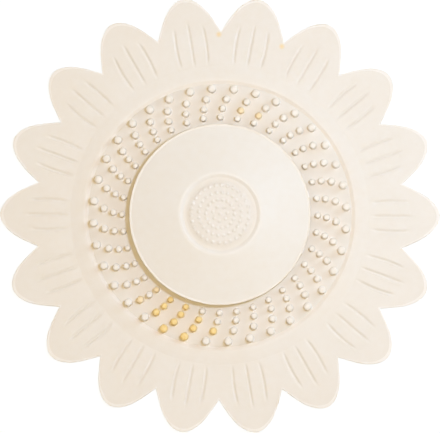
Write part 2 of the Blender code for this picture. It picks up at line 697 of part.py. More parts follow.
def make_seal_ring(parts):
    """The soft ring between the cap's ribs, which closes on the seat of the grate."""
    outer = SEAL_RADIUS + SEAL_WIDTH / 2
    inner = SEAL_RADIUS - SEAL_WIDTH / 2
    top_z = cap_under_z(outer) - SEAT_GAP
    profile = [
        (outer, top_z),
        (outer, SEAL_BOTTOM_Z + SEAL_LIP_ROUNDING),
        (outer - SEAL_LIP_ROUNDING, SEAL_BOTTOM_Z),
        (inner + SEAL_LIP_ROUNDING, SEAL_BOTTOM_Z),
        (inner, SEAL_BOTTOM_Z + SEAL_LIP_ROUNDING),
        (inner, top_z),
    ]
    return turned("seal_ring", profile, LARGE_STEPS, parts, base_z=SEAL_BOTTOM_Z)


def dot_places():
    """(circle radius, angle, diameter) of each raised dot, on circles round the centre."""
    circle_step = (DOT_LAST_CIRCLE_RADIUS - DOT_FIRST_CIRCLE_RADIUS) / (DOT_CIRCLES - 1)
    places = []
    for circle in range(DOT_CIRCLES):
        count = DOT_FIRST_COUNT + circle * DOT_COUNT_STEP
        radius = DOT_FIRST_CIRCLE_RADIUS + circle * circle_step
        places += [(radius, i * math.tau / count, DOT_DIAMETER) for i in range(count)]
    return places


def make_press_button(parts, guides):
    """The soft disc in the cap's pocket that a finger or toe presses, with dots for grip."""
    profile = [
        (0.0, BUTTON_TOP_Z),
        (BUTTON_RADIUS - BUTTON_EDGE_ROUNDING, BUTTON_TOP_Z),
        (BUTTON_RADIUS, BUTTON_TOP_Z - BUTTON_EDGE_ROUNDING),
        (BUTTON_RADIUS, BUTTON_BOTTOM_Z),
        (0.0, BUTTON_BOTTOM_Z),
    ]
    button = turned("press_button", profile, MEDIUM_STEPS, parts, base_z=BUTTON_BOTTOM_Z, closed=False)
    dots = studs(
        "dots",
        dot_places(),
        BUTTON_TOP_Z - JOIN_OVERLAP,
        DOT_HEIGHT + JOIN_OVERLAP,
        DOT_TIP_SHARE,
        0.0,
        DOT_SIDES,
        guides,
    )
    join(button, dots)
    return button


def carry(name, height, riders, group):
    """An empty on the Z axis that carries the things that move together, which stay where they are."""
    carrier = new_object(name, None, group)
    carrier.location.z = height
    for rider in riders:
        rider.location.z -= height
        rider.parent = carrier
    return carrier


def main():
    for thing in list(bpy.data.objects):
        bpy.data.objects.remove(thing)
    parts = new_collection(PART_NAME)
    guides = new_collection("construction")

    soft_cream = new_material("soft_cream", CREAM, 0.55)
    stiff_cream = new_material("stiff_cream", CREAM, 0.45)
    dark_rubber = new_material("dark_rubber", BLACK, 0.6)
    steel = new_material("steel", STEEL_GREY, 0.3, metallic=1.0)

    mat_pieces = [
        (make_petal_mat(parts, guides), soft_cream),
        (make_peg_ring(parts, guides), soft_cream),
        (make_drain_grate(parts, guides), stiff_cream),
        (make_friction_ring(parts), dark_rubber),
    ]
    stem_pieces = [
        (make_stem(parts), stiff_cream),
        (make_stem_clip(parts), steel),
    ]
    cap_pieces = [
        (make_cap(parts), stiff_cream),
        (make_cap_retainer(parts), stiff_cream),
        (make_seal_ring(parts), soft_cream),
        (make_press_button(parts, guides), soft_cream),
    ]
    for piece, material in mat_pieces + stem_pieces + cap_pieces:
        piece.data.materials.append(material)

    turning = carry("cap_turn", FLANGE_BOTTOM_Z, [piece for piece, _ in cap_pieces], parts)
    carry("cap_press", STEM_FOOT_HEIGHT, [turning] + [piece for piece, _ in stem_pieces], parts)


main()
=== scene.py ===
"""Looks of the drain hair catcher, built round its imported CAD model.

Metres, +Z up, in the frame of the CAD model. Shapes are worked out in millimetres and scaled by MM. A profile
is a list of corners (radius, z, fillet), and is turned round the upright axis.
"""

import math

import bmesh
import bpy
import numpy as np
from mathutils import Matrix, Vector
from mathutils.geometry import delaunay_2d_cdt


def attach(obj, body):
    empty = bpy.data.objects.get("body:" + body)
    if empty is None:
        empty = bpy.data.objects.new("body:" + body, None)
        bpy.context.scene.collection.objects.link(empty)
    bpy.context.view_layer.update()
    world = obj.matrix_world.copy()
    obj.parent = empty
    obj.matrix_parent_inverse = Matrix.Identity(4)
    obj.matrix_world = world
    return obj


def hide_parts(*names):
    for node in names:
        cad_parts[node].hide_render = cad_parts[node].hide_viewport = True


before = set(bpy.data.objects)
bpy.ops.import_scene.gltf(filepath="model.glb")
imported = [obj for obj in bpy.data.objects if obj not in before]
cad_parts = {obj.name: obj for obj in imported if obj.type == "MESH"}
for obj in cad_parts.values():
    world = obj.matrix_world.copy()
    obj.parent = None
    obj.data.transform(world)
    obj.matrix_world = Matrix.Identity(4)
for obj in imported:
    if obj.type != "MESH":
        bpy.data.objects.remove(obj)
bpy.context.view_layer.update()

MM = 0.001
WELD = 1e-8  # metres: points closer than this are one
SHARP_ANGLE = 38.0  # degrees: edges of the grate that turn further are drawn sharp

# Fillets: the share of a side that one may take, and how far past it a support point lies
FILLET_SHARE = 0.48
SUPPORT = 0.12
SUPPORT_SHARE = 0.3

# Mat. A petal's edge is the parabola x = TIP_RADIUS - y * y / (2 * TIP_CURVE). NOTCH_CUT deepens it towards the
# notches, from NOTCH_CUT_START from the petal's middle and in full NOTCH_CUT_WIDTH further out.
PETALS = 18
TIP_RADIUS = 75.0
TIP_CURVE = 5.0
NOTCH_CUT = 0.75
NOTCH_CUT_START = 6.5
NOTCH_CUT_WIDTH = 4.2
MAT_TOP = 2.4
MAT_FLOOR = 1.0
BORE = 27.0
TRAY_RADIUS = 45.2
HUMP_CREST_Z = 2.74
HUMP_FOOT = 51.2
RIM_TOP_ROUND = 0.16
RIM_BOTTOM_ROUND = 0.35

# Rows of the mat's skin. From the share INSET_START of their way to the edge, the rows of the top and of the
# underside draw in to the rim's rounding. EDGE_HALVINGS is how often the search for the edge halves its span.
# Faces of the top with a point deeper than SUNK get the grooves' material, which paints shade at the groove
# floors.
TOP_ROWS = 25
BOTTOM_ROWS = 12
RIM_TOP_ARC = (22, 45, 67, 90)
RIM_BOTTOM_ARC = (90, 60, 30, 0)
UNDERSIDE_RADII = (43.0, 35.0, 29.0)
INSET_START = 0.72
INSET_WIDTH = 0.28
EDGE_HALVINGS = 50
SUNK = 0.003

# Columns of the mat's skin, in lanes: 0 is a petal's middle, 1 its side groove and 2 its border. The columns
# over a groove are given in millimetres from its middle, and a lane is about INNER_LANE wide inside the side
# groove and OUTER_LANE outside it. Near the border, the edge's normal turns to point along the notch.
GROOVE_COLUMNS = (0.0, 0.13, 0.27, 0.41, 0.55, 0.69, 0.85)
INNER_LANE = 4.9
OUTER_LANE = 5.2
BETWEEN_GROOVES = (0.30, 0.44, 0.56, 0.70)
TOWARDS_NOTCH = (*np.linspace(1.27, 1.88, 4), 1.96, 2.0)
NOTCH_TURN_START = 1.86
NOTCH_TURN_WIDTH = 0.14

# Three grooves on each petal, which fade over GROOVE_FADE at their ends. A side groove starts SPREAD_START from
# the petal's middle, ends SPREAD_END from it and bows out by SPREAD_BOW.
GROOVE_START = 52.0
GROOVE_MIDDLE_END = 66.3
GROOVE_SIDE_END = 64.6
GROOVE_HALF_WIDTH = 0.76
GROOVE_DEPTH = 0.32
GROOVE_FADE = 1.6
GROOVE_LEAD = 0.3
GROOVE_TAIL = 0.2
SPREAD_START = 4.6
SPREAD_END = 4.9
SPREAD_BOW = 0.4

# Suction hollows in the underside, flat over SUCKER_FLAT of their radius
SUCKERS = 6
SUCKER_CIRCLE = 57.45
SUCKER_RADIUS = 4.2
SUCKER_DEPTH = 1.0
SUCKER_FLAT = 0.15

# Bed of the pegs
TRAY_BOTTOM = 1.25
TRAY_TOP = 2.05
BED_OUTER = 44.85
BED_INNER = 30.6
BED_BORE = 30.25
BED_GAP = 0.05
BED_STEPS = 180
CDT_EPSILON = 1e-6

# Pegs, on four circles. A phase is the angle of a circle's first peg, and an apron is how far a peg's foot
# flares. PEG_FLARE is the shape of the flare, out and up in aprons. Amber pegs are named by row and circle.
PEG_ROWS = 36
PEG_CIRCLES = (43.20, 39.65, 36.39, 33.40)
PEG_DIAMETERS = (2.62, 2.24, 2.0, 1.84)
PEG_PHASES = (4.0, 7.1, 8.96, 10.08)
PEG_APRONS = (0.3, 0.46, 0.46, 0.46)
PEG_FLARE = ((1.0, 0.0), (0.8, 0.0), (0.5, 0.12), (0.25, 0.38), (0.08, 0.75), (0.0, 1.2))
PEG_MIDDLE = 3.9
PEG_TOP = 6.05
PEG_TAPER = 0.98
PEG_DOME = 0.3
PEG_DOME_ARC = (18, 36, 52, 66, 79)
PEG_STEPS = 24
AMBER_PEGS = {
    (23, 1), (23, 2), (23, 3),
    (24, 0), (24, 1), (24, 2), (24, 3),
    (25, 0), (25, 1), (25, 2),
    (26, 1),
}
PALE_AMBER_PEGS = {(22, 1), (22, 3), (7, 2), (6, 2)}

# Button: a pad whose top falls by PAD_FALL towards its edge, with dots on circles. A circle of dots is its
# radius, the number of its dots and the angle of the first.
PAD_EDGE = 10.55
PAD_TOP = 11.87
PAD_BOTTOM = 10.97
PAD_FALL = 0.31
PAD_FALL_POWER = 4.0
PAD_RINGS = 82
DOT_RADIUS = 0.68
DOT_HEIGHT = 0.27
DOT_POWER = 1.7
DOT_CIRCLES = ((0.0, 1, 0.0), (2.46, 7, 9.9), (4.88, 18, -0.5), (7.3, 24, -5.4), (9.82, 30, 3.7))

# The mat from its bore over the tray and the hump to the hump's foot. The last corner isn't built, and only
# gives the first one's fillet its direction.
MAT_PROFILE = [
    (BORE, 0.0, 0.3), (BORE, MAT_FLOOR, 0.25),
    (TRAY_RADIUS, MAT_FLOOR, 0.1), (TRAY_RADIUS, 1.93, 0.03), (BED_OUTER, 1.98, 0.03),
    (46.1, HUMP_CREST_Z - 0.04, 0.4), (46.9, HUMP_CREST_Z, 1.0),
    (49.0, 2.60, 2.0), (51.0, MAT_TOP, 0.9), (HUMP_FOOT, MAT_TOP, 0.0),
    (BORE + 1.0, 0.0, 0.0),
]
# What lies below the top of the bed, and below the top of the button
BED_PROFILE = [
    (BED_INNER, TRAY_TOP, 0.0), (BED_BORE, TRAY_TOP, 0.15), (BED_BORE, TRAY_BOTTOM, 0.2),
    (TRAY_RADIUS - BED_GAP, TRAY_BOTTOM, 0.2), (TRAY_RADIUS - BED_GAP, TRAY_TOP, 0.04),
    (BED_OUTER, TRAY_TOP, 0.0),
]
PAD_PROFILE = [
    (PAD_EDGE, PAD_TOP - PAD_FALL, 0.0), (PAD_EDGE, 11.45, 0.03), (10.15, 11.4, 0.1),
    (10.15, PAD_BOTTOM, 0.15), (0.0, PAD_BOTTOM, 0.0),
]
CAP_PROFILE = [
    # floor and wall of the button's pocket, groove round it, cone and lip
    (0.0, 10.72, 0.0), (10.45, 10.72, 0.12), (10.45, 11.54, 0.05),
    (11.5, 11.32, 0.8), (12.45, 11.30, 0.5), (13.55, 11.73, 0.45),
    (14.3, 11.72, 1.0), (30.1, 8.33, 0.3),
    (30.5, 8.37, 0.2), (30.86, 8.34, 0.12), (30.9, 7.9, 0.1), (30.9, 6.95, 0.2),
    # underside with its two ribs and its collar
    (29.6, 6.95, 0.2), (29.6, 7.10, 0.25),
    (25.8, 7.93, 0.2), (25.8, 7.25, 0.15), (25.0, 7.25, 0.15), (25.0, 8.11, 0.0),
    (22.3, 8.70, 0.0), (22.3, 7.25, 0.15), (21.5, 7.25, 0.15), (21.5, 8.87, 0.2),
    (16.7, 9.92, 0.8), (10.3, 9.92, 0.15),
    (10.3, 8.72, 0.15), (9.4, 8.72, 0.15), (9.4, 9.92, 0.0), (0.0, 9.92, 0.0),
]
RETAINER_PROFILE = [
    (9.15, 9.67, 0.15), (9.15, 7.72, 0.25), (6.2, 7.72, 0.25),
    (6.2, 8.52, 0.2), (7.75, 8.52, 0.1), (7.75, 9.67, 0.15),
]
SEAL_PROFILE = [(24.725, 7.90, 0.1), (24.725, 6.75, 0.45), (22.525, 6.75, 0.45), (22.525, 7.90, 0.1)]
STEM_PROFILE = [
    (0.0, 9.67, 0.0), (7.5, 9.67, 0.15), (7.5, 8.77, 0.15), (2.3, 8.77, 0.3),
    # neck of the clip, and the tip
    (2.3, 1.4, 0.1), (1.5, 1.4, 0.1), (1.5, 0.6, 0.1), (2.3, 0.6, 0.05),
    (2.3, 0.45, 0.1), (2.0, 0.15, 0.1), (0.5, 0.15, 0.05), (0.4, 0.25, 0.05), (0.0, 0.25, 0.0),
]
GRATE_PROFILE = [
    (30.0, 2.05, 0.2), (30.0, 1.25, 0.2), (26.75, 1.25, 0.0), (26.75, 0.45, 0.25),
    (21.7, 0.45, 0.3), (20.5, 0.85, 0.2), (20.5, 2.05, 0.2),
]
GUIDE_PROFILE = [
    (4.4, 4.07, 0.25), (4.4, 2.45, 0.3), (6.1, 2.45, 0.15), (6.5, 2.03, 0.1), (6.5, 0.85, 0.2),
    (4.2, 0.85, 0.15), (4.2, 1.5, 0.15), (2.55, 1.5, 0.1),
    # groove of the friction ring
    (2.55, 2.37, 0.0), (3.6, 2.37, 0.0), (3.6, 3.57, 0.0), (2.55, 3.57, 0.0),
    (2.55, 4.07, 0.1),
]

# Spokes of the grate, which widen by SPOKE_FLARE on each side inside the first and outside the second of
# SPOKE_FLARE_STARTS. The stations are the radii of their sections.
SPOKES = 6
SPOKE_TOP = 2.03
SPOKE_BOTTOM = 0.82
SPOKE_HALF_WIDTH = 1.2
SPOKE_FILLET = 0.2
SPOKE_FLARE = 0.9
SPOKE_FLARE_LENGTH = 1.5
SPOKE_FLARE_STARTS = (8.0, 19.0)
SPOKE_STATIONS = (5.4, 6.4, 6.7, 7.1, 7.8, 9.0, 13.5, 18.0, 19.2, 19.9, 20.3, 20.6, 21.4)

# Clip: an open ring between two angles in degrees
CLIP_SECTION = [(3.6, 1.3, 0.12), (3.6, 0.7, 0.12), (1.65, 0.7, 0.12), (1.65, 1.3, 0.12)]
CLIP_ENDS = (40, 320)
CLIP_STEPS = 49

# Friction ring
O_RING_RADIUS = 2.95
O_RING_Z = 2.97
O_RING_HALF = 0.5
O_RING_STEPS = 20

# Nearly all values of a noise lie in this span
NOISE_SPAN = (0.3, 0.7)

# Silicone and plastic. A grain is its width and height. Each line of MOTTLING is the width of its patches, the
# detail of their noise, the part of the noise over which they fade in, and their tint. STAINS are the places of
# small amber spots on the mat.
SPECULAR = 0.25
ROUGHNESS = 0.55
PEG_ROUGHNESS = 0.5
PAD_ROUGHNESS = 0.5
PLASTIC_ROUGHNESS = 0.48
ROUGHNESS_BELOW = 0.05
ROUGHNESS_ABOVE = 0.06
SILICONE_GRAIN = (0.16, 0.006)
PEG_GRAIN = (0.16, 0.004)
PAD_GRAIN = (0.16, 0.005)
PLASTIC_GRAIN = (0.11, 0.003)
WAVE_WIDTH = 7.0
WAVE_HEIGHT = 0.02
MOTTLING = (
    (26.0, 2.0, (0.35, 0.65), (0.995, 0.985, 0.97)),
    (2.4, 4.0, (0.35, 0.7), (0.99, 0.982, 0.968)),
    (0.45, 2.0, (0.68, 0.80), (0.97, 0.95, 0.92)),
)
CREAM = (0.885, 0.818, 0.735)
# The next colour, paler than CREAM, is painted glow on the mat's rounded rim, lifting its shade.
RIM_GLOW_CREAM = (0.955, 0.90, 0.835)
# Up to the next height, the amber pegs' feet carry painted shade.
AMBER_FOOT_SHADE_TOP = 2.8
STAINS = ((-0.76, 61.9), (20.8, 57.9))
STAIN_CORE = 0.2
STAIN_REACH = 1.2
STAIN_COLOR = (0.93, 0.72, 0.40)

# Stage, in metres. The floor's colour is what lights the object. Where the camera sees the floor, it shows a
# glow that is nearly white and a dim shade for the shadow, from FLOOR_CLEAR outwards.
WHITE = (1.0, 1.0, 1.0)
WORLD_COLOR = (0.15, 0.13, 0.10)
FLOOR_HALF = 3.0
FLOOR_Z = -0.0001
FLOOR_COLOR = (0.86, 0.845, 0.815)
FLOOR_SHADE = (0.13, 0.13, 0.13)
FLOOR_GLOW = 0.91
FLOOR_CLEAR = (0.045, 0.060)

# Round lamps that point at the origin: name, place, diameter, watts and colour
LAMPS = (
    ("key", (0.0725, 0.0225, 0.43), 0.03, 0.94, (0.507, 0.652, 0.966)),
    ("side", (0.368, 0.181, 0.287), 0.28, 0.81, (0.52, 0.74, 1.0)),
    ("fill", (-0.546, -0.278, 0.514), 0.5, 0.56, (0.59, 0.50, 0.315)),
    ("overhead", (0.0, -0.157, 2.996), 0.2, 34.0, (1.17, 0.927, 0.49)),
)

# Camera, in metres and degrees
CAMERA_DISTANCE = 2.0
CAMERA_AIM_Y = -0.0003
CAMERA_TILT = 3.0
CAMERA_ROLL = 0.33
SEEN_WIDTH = 0.15034
SENSOR_WIDTH = 36.0
CLIP_END = 20.0


# ---------------------------------------------------------------- mesh helpers
def smooth(value):
    t = np.clip(value, 0.0, 1.0)
    return t * t * (3 - 2 * t)


def on_circle(radius, angle):
    return radius * math.cos(angle), radius * math.sin(angle)


def turned(x, y, angle):
    """The point x, y turned round the upright axis."""
    return x * math.cos(angle) - y * math.sin(angle), x * math.sin(angle) + y * math.cos(angle)


def turns(count):
    """Angles of count equal steps round a circle."""
    return np.arange(count) * math.tau / count


def arc_corner(before, corner, after, radius, segments):
    """Points of a fillet at a corner, with a support point on each side of it."""
    a, c, b = (np.array(p, float) for p in (before, corner, after))
    to_a, to_b = a - c, b - c
    len_a, len_b = np.linalg.norm(to_a), np.linalg.norm(to_b)
    to_a, to_b = to_a / len_a, to_b / len_b
    cos_angle = float(np.clip(to_a @ to_b, -1, 1))
    half = math.acos(cos_angle) / 2
    reach = min(radius / math.tan(half), FILLET_SHARE * len_a, FILLET_SHARE * len_b)
    radius = reach * math.tan(half)
    middle = (to_a + to_b) / np.linalg.norm(to_a + to_b)
    centre = c + middle * radius / math.sin(half)
    start, end = c + to_a * reach, c + to_b * reach
    from_a, from_b = start - centre, end - centre
    sweep = math.pi - 2 * half
    points = []
    for i in range(segments + 1):
        share = i / segments
        w_a = math.sin((1 - share) * sweep) / math.sin(sweep)
        w_b = math.sin(share * sweep) / math.sin(sweep)
        points.append(tuple(centre + w_a * from_a + w_b * from_b))
    margin_a = min(SUPPORT, SUPPORT_SHARE * (len_a - reach))
    margin_b = min(SUPPORT, SUPPORT_SHARE * (len_b - reach))
    return [tuple(start + to_a * margin_a)] + points + [tuple(end + to_b * margin_b)]


def rounded(corners, segments=4):
    """A profile as a list of (radius, z) points."""
    points = []
    for i, (r, z, fillet) in enumerate(corners):
        if fillet:
            before, after = corners[i - 1][:2], corners[(i + 1) % len(corners)][:2]
            points += arc_corner(before, (r, z), after, fillet, segments)
        else:
            points.append((r, z))
    return points


def mesh_object(name, verts, faces, materials, kinds):
    """An object of one skin. kinds has each face's number in the list of materials."""
    mesh = bpy.data.meshes.new(name)
    mesh.from_pydata([tuple(v) for v in np.asarray(verts, float) * MM], [], faces)
    for material in materials:
        mesh.materials.append(material)
    mesh.polygons.foreach_set("material_index", np.asarray(kinds, np.int32))
    shape = bmesh.new()
    shape.from_mesh(mesh)
    bmesh.ops.remove_doubles(shape, verts=shape.verts, dist=WELD)
    bmesh.ops.recalc_face_normals(shape, faces=shape.faces)
    shape.to_mesh(mesh)
    shape.free()
    mesh.polygons.foreach_set("use_smooth", np.ones(len(mesh.polygons), bool))
    thing = bpy.data.objects.new(name, mesh)
    bpy.context.scene.collection.objects.link(thing)
    return thing


def unite(base, other):
    """Joins the solid of other to that of base, in one skin."""
    modifier = base.modifiers.new("union", "BOOLEAN")
    modifier.operation = "UNION"
    modifier.solver = "MANIFOLD"
    modifier.object = other
    graph = bpy.context.evaluated_depsgraph_get()
    mesh = bpy.data.meshes.new_from_object(base.evaluated_get(graph))
    base.modifiers.clear()
    base.data = mesh
    bpy.data.objects.remove(other)
    mesh.set_sharp_from_angle(angle=math.radians(SHARP_ANGLE))
    return base


def grid_faces(rows, cols, close_rows=False):
    """Quads between rows of points that each run round in a loop."""
    faces = []
    for i in range(rows if close_rows else rows - 1):
        a, b = i * cols, (i + 1) % rows * cols
        for j in range(cols):
            k = (j + 1) % cols
            faces.append((a + j, a + k, b + k, b + j))
    return faces


class Shape:
    """Gathers shells of a mesh, each with a material's number."""

    def __init__(self):
        self.verts, self.faces, self.kinds = [], [], []

    def add(self, verts, faces, kind=0):
        first = len(self.verts)
        self.verts += [tuple(v) for v in verts]
        self.faces += [tuple(first + i for i in face) for face in faces]
        self.kinds += [kind] * len(faces)

    def lathe(self, profile, steps, closed=True, kind=0, centre=(0.0, 0.0)):
        """Turns (radius, z) points round an upright axis. An open profile's ends are left unjoined."""
        angles = turns(steps)
        verts, faces, rows = [], [], []
        for r, z in profile:
            first = len(verts)
            if r == 0:
                verts.append((*centre, z))
                rows.append((first, 1))
            else:
                for c, s in zip(np.cos(angles), np.sin(angles)):
                    verts.append((centre[0] + r * c, centre[1] + r * s, z))
                rows.append((first, steps))
        pairs = list(zip(rows, rows[1:]))
        if closed:
            pairs.append((rows[-1], rows[0]))
        for (a, count_a), (b, count_b) in pairs:
            for j in range(steps):
                k = (j + 1) % steps
                if count_a == 1:
                    faces.append((a, b + k, b + j))
                elif count_b == 1:
                    faces.append((a + j, a + k, b))
                else:
                    faces.append((a + j, a + k, b + k, b + j))
        self.add(verts, faces, kind)

    def sweep(self, verts, count):
        """A bar along a row of sections of count points each, closed at both ends."""
        faces = grid_faces(len(verts) // count, count)
        faces.append(tuple(range(count)))
        faces.append(tuple(range(len(verts) - count, len(verts))))
        self.add(verts, faces)

    def build(self, name, *materials):
        return mesh_object(name, self.verts, self.faces, materials, self.kinds)


def make_lathe(name, corners, material, steps, segments=4, closed=True):
    """A piece turned in a number of steps, whose fillets have a number of segments."""
    shape = Shape()
    shape.lathe(rounded(corners, segments), steps, closed=closed)
    return shape.build(name, material)


# ---------------------------------------------------------------- petal mat
def spread(x):
    """How far the side grooves lie from the middle of a petal."""
    share = np.clip((x - GROOVE_START) / (GROOVE_SIDE_END - GROOVE_START), 0, 1)
    return SPREAD_START + share * (SPREAD_END - SPREAD_START) + 4 * share * (1 - share) * SPREAD_BOW


def lane_y(lane, x):
    """A column's distance from the petal's middle."""
    at = np.maximum(x, GROOVE_START)
    groove = spread(at)
    border = at * math.tan(math.pi / PETALS)
    size = np.abs(lane)
    y = np.where(size <= 1, size * groove, groove + (size - 1) * (border - groove))
    return np.sign(lane) * y * x / at


def groove_depth(x, y):
    """How deep the three grooves sink the top of a petal."""
    depth = np.zeros_like(x)
    side = spread(x)
    for centre, end in ((0 * x, GROOVE_MIDDLE_END), (side, GROOVE_SIDE_END), (-side, GROOVE_SIDE_END)):
        across = np.clip(np.abs(y - centre) / GROOVE_HALF_WIDTH, 0, 1)
        fade_in = smooth((x - GROOVE_START + GROOVE_LEAD) / GROOVE_FADE)
        fade_out = smooth((end - x + GROOVE_TAIL) / GROOVE_FADE)
        depth += GROOVE_DEPTH * (fade_in * fade_out) * np.cos(across * math.pi / 2) ** 2
    return depth


def sucker_height(x, y):
    """Height of the underside at points of the flower, with its suction hollows."""
    height = np.zeros_like(x)
    for turn in turns(SUCKERS):
        centre_x, centre_y = on_circle(SUCKER_CIRCLE, math.pi / PETALS + turn)
        away = np.hypot(x - centre_x, y - centre_y) / SUCKER_RADIUS
        height += SUCKER_DEPTH * (1 - smooth((away - SUCKER_FLAT) / (1 - SUCKER_FLAT))) * (away < 1)
    return height


def petal_lanes():
    """Columns across one petal, close together over the grooves and at the notch."""
    near = np.array(GROOVE_COLUMNS) / INNER_LANE
    half = [*near, *BETWEEN_GROOVES, *(1 - near[::-1])]
    half += [*(1 + near[1:] * INNER_LANE / OUTER_LANE), *TOWARDS_NOTCH]
    half = np.array(sorted(set(np.round(half, 6))))
    return np.concatenate([-half[::-1][1:-1], half])


def petal_edge(lanes):
    """Each column's end at the petal's edge, x and y, and the angle of the edge's normal there."""
    low, high = np.full_like(lanes, HUMP_FOOT - 2), np.full_like(lanes, TIP_RADIUS + 1)
    for _ in range(EDGE_HALVINGS):
        middle = (low + high) / 2
        outside = middle + lane_y(lanes, middle) ** 2 / (2 * TIP_CURVE) > TIP_RADIUS
        high = np.where(outside, middle, high)
        low = np.where(outside, low, middle)
    x = (low + high) / 2
    x -= NOTCH_CUT * smooth((np.abs(lane_y(lanes, x)) - NOTCH_CUT_START) / NOTCH_CUT_WIDTH)
    y = lane_y(lanes, x)
    normal = np.arctan2(-np.gradient(x, lanes), np.gradient(y, lanes))
    notch = np.sign(lanes) * math.pi / PETALS
    weight = smooth((np.abs(lanes) - NOTCH_TURN_START) / NOTCH_TURN_WIDTH)
    return x, y, normal + weight * (notch - normal)


def make_mat(material, groove_shade_material, rim_glow_material):
    """The flower as one skin, in rings from the bore over the top and the rim to the underside."""
    lanes = petal_lanes()
    cols = len(lanes) * PETALS
    lane_angle = np.arctan2(lane_y(lanes, np.full_like(lanes, HUMP_FOOT)), HUMP_FOOT)
    foot_x = HUMP_FOOT * np.cos(lane_angle)
    end_x, end_y, normal = petal_edge(lanes)
    inward_x, inward_y = -np.cos(normal), -np.sin(normal)

    def ring(x, y, z):
        """A ring made of one petal's points, turned to each petal."""
        petals = []
        for turn in turns(PETALS):
            petals.append(np.stack([*turned(x, y, turn), z + 0 * x], axis=1))
        return np.concatenate(petals)

    def round_ring(r, z):
        return ring(r * np.cos(lane_angle), r * np.sin(lane_angle), z)

    def petal_points(share, inset):
        """Points a share of the way from the hump's foot to the edge, where the edge is drawn in by inset."""
        x = foot_x + share * (end_x - foot_x)
        y = lane_y(lanes, x)
        pull = smooth((share - INSET_START) / INSET_WIDTH) * inset
        return x + pull * inward_x, y + pull * inward_y

    def rim_ring(inset, z):
        return ring(end_x + inset * inward_x, end_y + inset * inward_y, z)

    inner = rounded(MAT_PROFILE, segments=2)[:-1]
    rows = [round_ring(r, z) for r, z in inner]
    for share in np.linspace(0, 1, TOP_ROWS + 1)[1:]:
        x, y = petal_points(share, RIM_TOP_ROUND)
        rows.append(ring(x, y, MAT_TOP - groove_depth(x, y)))
    for angle in np.radians(RIM_TOP_ARC):
        out, down = 1 - math.sin(angle), 1 - math.cos(angle)
        rows.append(rim_ring(RIM_TOP_ROUND * out, MAT_TOP - RIM_TOP_ROUND * down))
    for angle in np.radians(RIM_BOTTOM_ARC):
        out, up = 1 - math.sin(angle), 1 - math.cos(angle)
        rows.append(rim_ring(RIM_BOTTOM_ROUND * out, RIM_BOTTOM_ROUND * up))
    for share in np.linspace(1, 0, BOTTOM_ROWS + 1)[1:]:
        row = ring(*petal_points(share, RIM_BOTTOM_ROUND), 0.0)
        row[:, 2] = sucker_height(row[:, 0], row[:, 1])
        rows.append(row)
    rows += [round_ring(r, 0.0) for r in UNDERSIDE_RADII]

    verts = np.concatenate(rows)
    faces = grid_faces(len(rows), cols, close_rows=True)
    kinds = np.zeros(len(faces), int)
    top = (len(inner) - 1) * cols
    edge = (len(inner) + TOP_ROWS - 2) * cols
    sunk = verts[:, 2] < MAT_TOP - SUNK
    # These faces get the material with painted shade at the groove floor.
    kinds[top:edge] = sunk[np.array(faces[top:edge])].any(axis=1)
    # The rim's rows get the paler cream: painted glow that lifts the rim's shade.
    kinds[edge:edge + (len(RIM_TOP_ARC) + len(RIM_BOTTOM_ARC)) * cols] = 2
    return mesh_object("mat_flower", verts, faces, [material, groove_shade_material, rim_glow_material], kinds)


# ---------------------------------------------------------------- pegs
def peg_profile(diameter, apron):
    """(radius, z) points up a peg: a flared foot, a slight taper and a round top."""
    foot, top = diameter / 2, diameter / 2 * PEG_TAPER
    dome = top * PEG_DOME
    points = [(foot + apron * out, TRAY_TOP + apron * up) for out, up in PEG_FLARE]
    points += [((foot + top) / 2, PEG_MIDDLE), (top, PEG_TOP - dome)]
    for angle in np.radians(PEG_DOME_ARC):
        points.append((top * math.cos(angle), PEG_TOP - dome + dome * math.sin(angle)))
    points.append((0.0, PEG_TOP))
    return points


def make_pegs(cream, amber, pale_amber):
    """The bed and its pegs as one skin: the top of the bed is cut out round the foot of each peg."""
    shape = Shape()
    points, edges = [], []

    def circle(x, y, radius, count):
        first = len(points)
        for angle in turns(count):
            points.append((x + radius * math.cos(angle), y + radius * math.sin(angle)))
        edges.extend((first + i, first + (i + 1) % count) for i in range(count))

    circle(0.0, 0.0, BED_OUTER, BED_STEPS)
    circle(0.0, 0.0, BED_INNER, BED_STEPS)
    circles = zip(PEG_CIRCLES, PEG_DIAMETERS, PEG_PHASES, PEG_APRONS)
    for number, (radius, diameter, phase, apron) in enumerate(circles):
        for row in range(PEG_ROWS):
            centre = on_circle(radius, math.radians(phase + 360 / PEG_ROWS * row))
            circle(*centre, diameter / 2 + apron, PEG_STEPS)
            peg = (row, number)
            kind = 1 if peg in AMBER_PEGS else 2 if peg in PALE_AMBER_PEGS else 0
            shape.lathe(peg_profile(diameter, apron), PEG_STEPS, closed=False, kind=kind, centre=centre)

    triangles = delaunay_2d_cdt([Vector(p) for p in points], edges, [], 0, CDT_EPSILON, True)[2]
    # The circle that each point belongs to: 0 is the bed's outer one. A triangle inside any other is left out.
    foot_points = np.arange(len(PEG_CIRCLES) * PEG_ROWS * PEG_STEPS)
    owner = np.concatenate([np.repeat([0, 1], BED_STEPS), 2 + foot_points // PEG_STEPS])
    kept = [t for t in triangles if owner[t[0]] == 0 or len({owner[i] for i in t}) > 1]
    shape.add([(x, y, TRAY_TOP) for x, y in points], kept)
    shape.lathe(rounded(BED_PROFILE), BED_STEPS, closed=False)
    return shape.build("peg_bed", cream, amber, pale_amber)


# ---------------------------------------------------------------- button, grate and clip
def disc_faces(rings):
    """Triangles of a disc whose points run in rings of 6, 12, 18 and so on round the first."""
    faces = []
    for i in range(rings):
        first, next_first = (0, 1) if i == 0 else (1 + 3 * i * (i - 1), 1 + 3 * i * (i + 1))
        count, next_count = max(6 * i, 1), 6 * (i + 1)
        for side in range(6):
            for k in range(i + 1):
                a = first + (side * i + k) % count
                b = next_first + side * (i + 1) + k
                c = next_first + (side * (i + 1) + k + 1) % next_count
                faces.append((a, b, c))
                if k < i:
                    faces.append((a, c, first + (side * i + k + 1) % count))
    return faces


